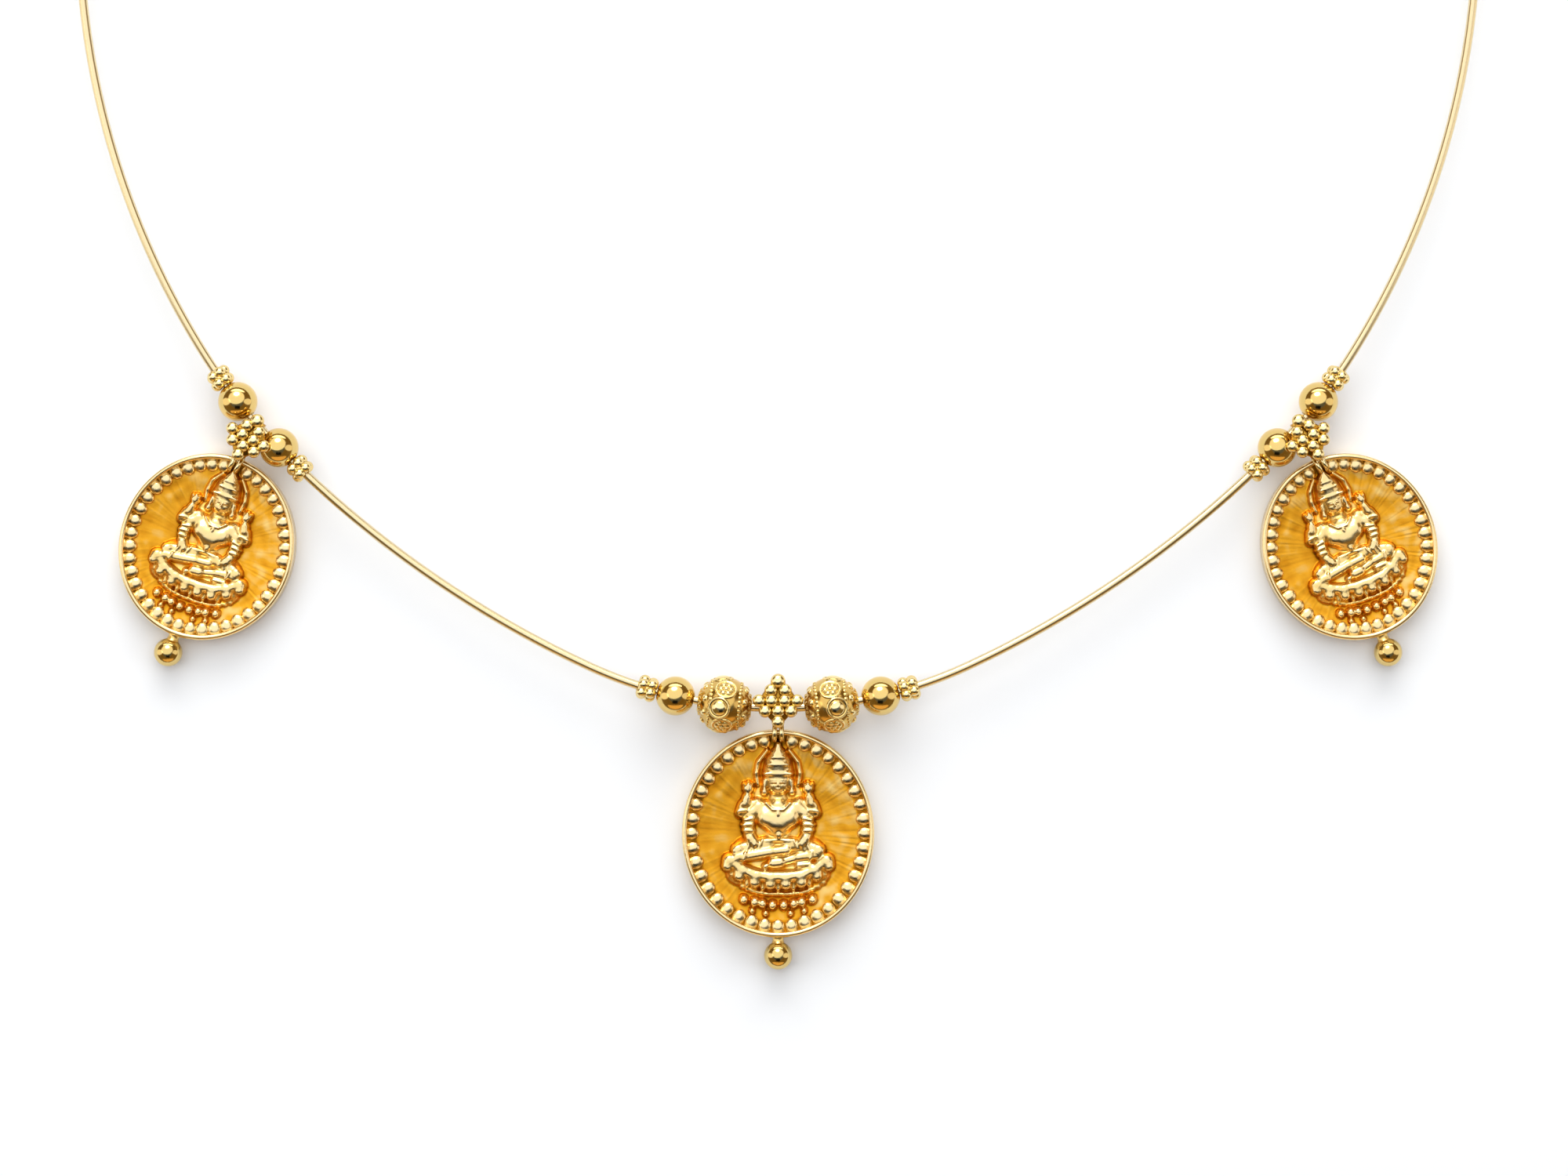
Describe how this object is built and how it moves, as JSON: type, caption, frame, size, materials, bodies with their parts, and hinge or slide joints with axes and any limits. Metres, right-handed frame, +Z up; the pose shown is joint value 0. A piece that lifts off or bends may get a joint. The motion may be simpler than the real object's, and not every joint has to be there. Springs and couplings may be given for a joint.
{
  "type": "temple jewellery necklace",
  "caption": "Neck wire with a centre and two side cast medallions of a seated goddess on granulated bails, with round gold beads, laid flat and closed by a barrel clasp.",
  "frame": {"origin": "on the table, under the middle of the necklace's box", "axes": "+X to the picture's right, the wearer's left, +Y from the centre pendant to the back clasp, +Z up from the table, out of the medallions' faces"},
  "size_m": [0.1432, 0.175, 0.006],
  "materials": {
    "wire_gold": "smooth drawn wire, gold plated",
    "polished_gold": "mirror polished, gold plated",
    "granulated_gold": "grains polished on top, dark between them",
    "cast_gold": "cast, satin field with polished rim and raised figure"
  },
  "bodies": {
    "root": {"neck_wire": "wire_gold", "clasp": "polished_gold", "medallion_center": "cast_gold", "medallion_left": "cast_gold", "medallion_right": "cast_gold", "bail_center": "granulated_gold", "bail_left": "granulated_gold", "bail_right": "granulated_gold", "ornate_bead_left": "granulated_gold", "ornate_bead_right": "granulated_gold", "plain_bead_left_1": "polished_gold", "plain_bead_left_2": "polished_gold", "plain_bead_left_3": "polished_gold", "plain_bead_right_1": "polished_gold", "plain_bead_right_2": "polished_gold", "plain_bead_right_3": "polished_gold", "spacer_left_1": "granulated_gold", "spacer_left_2": "granulated_gold", "spacer_left_3": "granulated_gold", "spacer_right_1": "granulated_gold", "spacer_right_2": "granulated_gold", "spacer_right_3": "granulated_gold"}
  },
  "joints": []
}
